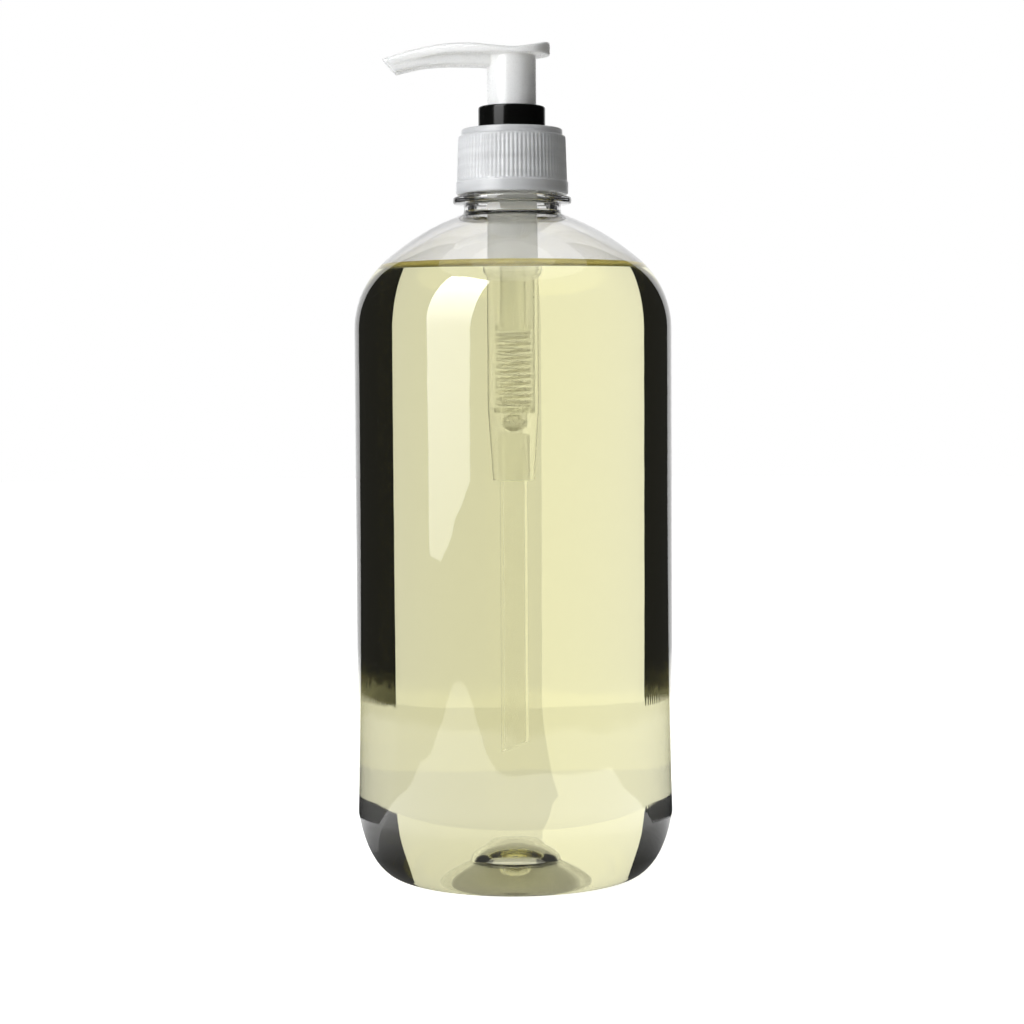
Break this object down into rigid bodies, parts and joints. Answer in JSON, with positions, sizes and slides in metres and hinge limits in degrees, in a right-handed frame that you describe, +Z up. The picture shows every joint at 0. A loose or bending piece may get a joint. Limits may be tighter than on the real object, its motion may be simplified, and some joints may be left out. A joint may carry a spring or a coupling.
{
  "type": "hand sanitizer pump bottle",
  "caption": "Clear round bottle of pale yellow hand sanitizer with a ribbed screw closure and a white lotion pump whose head presses down and swivels.",
  "frame": {"origin": "on the bottle's axis, at the plane its standing ring rests on", "axes": "+Z up along the bottle's axis; the spout points along -X at rest, and the picture looks along +Y"},
  "size_m": [0.09, 0.09, 0.2363],
  "materials": {
    "clear_pet": "clear, glossy, blown",
    "sanitizer": "clear pale yellow liquid",
    "closure_pp": "translucent natural, moulded ribs",
    "gasket_foam": "foamed, matt",
    "housing_pp": "translucent natural, satin",
    "collar_black": "glossy black, moulded",
    "actuator_pp": "translucent white, satin",
    "inner_pp": "white, satin",
    "piston_pe": "soft, satin",
    "spring_steel": "drawn stainless wire",
    "ball_steel": "polished stainless",
    "tube_pe": "translucent natural, extruded"
  },
  "bodies": {
    "bottle": {"bottle": "clear_pet", "sanitizer_liquid": "sanitizer"},
    "pump_unit": {"pump_housing": "housing_pp", "outer_gasket": "gasket_foam", "locking_collar": "collar_black", "ball_retainer": "inner_pp", "inlet_ball": "ball_steel", "dip_tube": "tube_pe", "return_spring": "spring_steel"},
    "closure": {"closure": "closure_pp"},
    "piston": {"piston_seal": "piston_pe"},
    "head": {"actuator": "actuator_pp", "stem": "housing_pp", "piston_rod": "inner_pp", "outlet_ball": "ball_steel"}
  },
  "joints": [
    {"name": "pump_rise", "type": "slide", "parent": "bottle", "child": "pump_unit", "axis": [0, 0, 1], "range_m": [0, 0.00635]},
    {"name": "closure_turn", "type": "hinge", "parent": "pump_unit", "child": "closure", "pos_m": [0, 0, 0.1935], "axis": [0, 0, 1], "range_deg": [0, 540]},
    {"name": "pump_stroke", "type": "slide", "parent": "pump_unit", "child": "piston", "axis": [0, 0, -1], "range_m": [0, 0.0095], "stiffness_N_per_m": 800, "springref_m": -0.006, "deforming": ["return_spring"]},
    {"name": "head_swivel", "type": "hinge", "parent": "piston", "child": "head", "pos_m": [0, 0, 0.2185], "axis": [0, 0, 1], "continuous": true}
  ],
  "couplings": [
    {"joint": "closure_turn", "follows": "pump_rise", "rad_per_m": 1484.2}
  ]
}
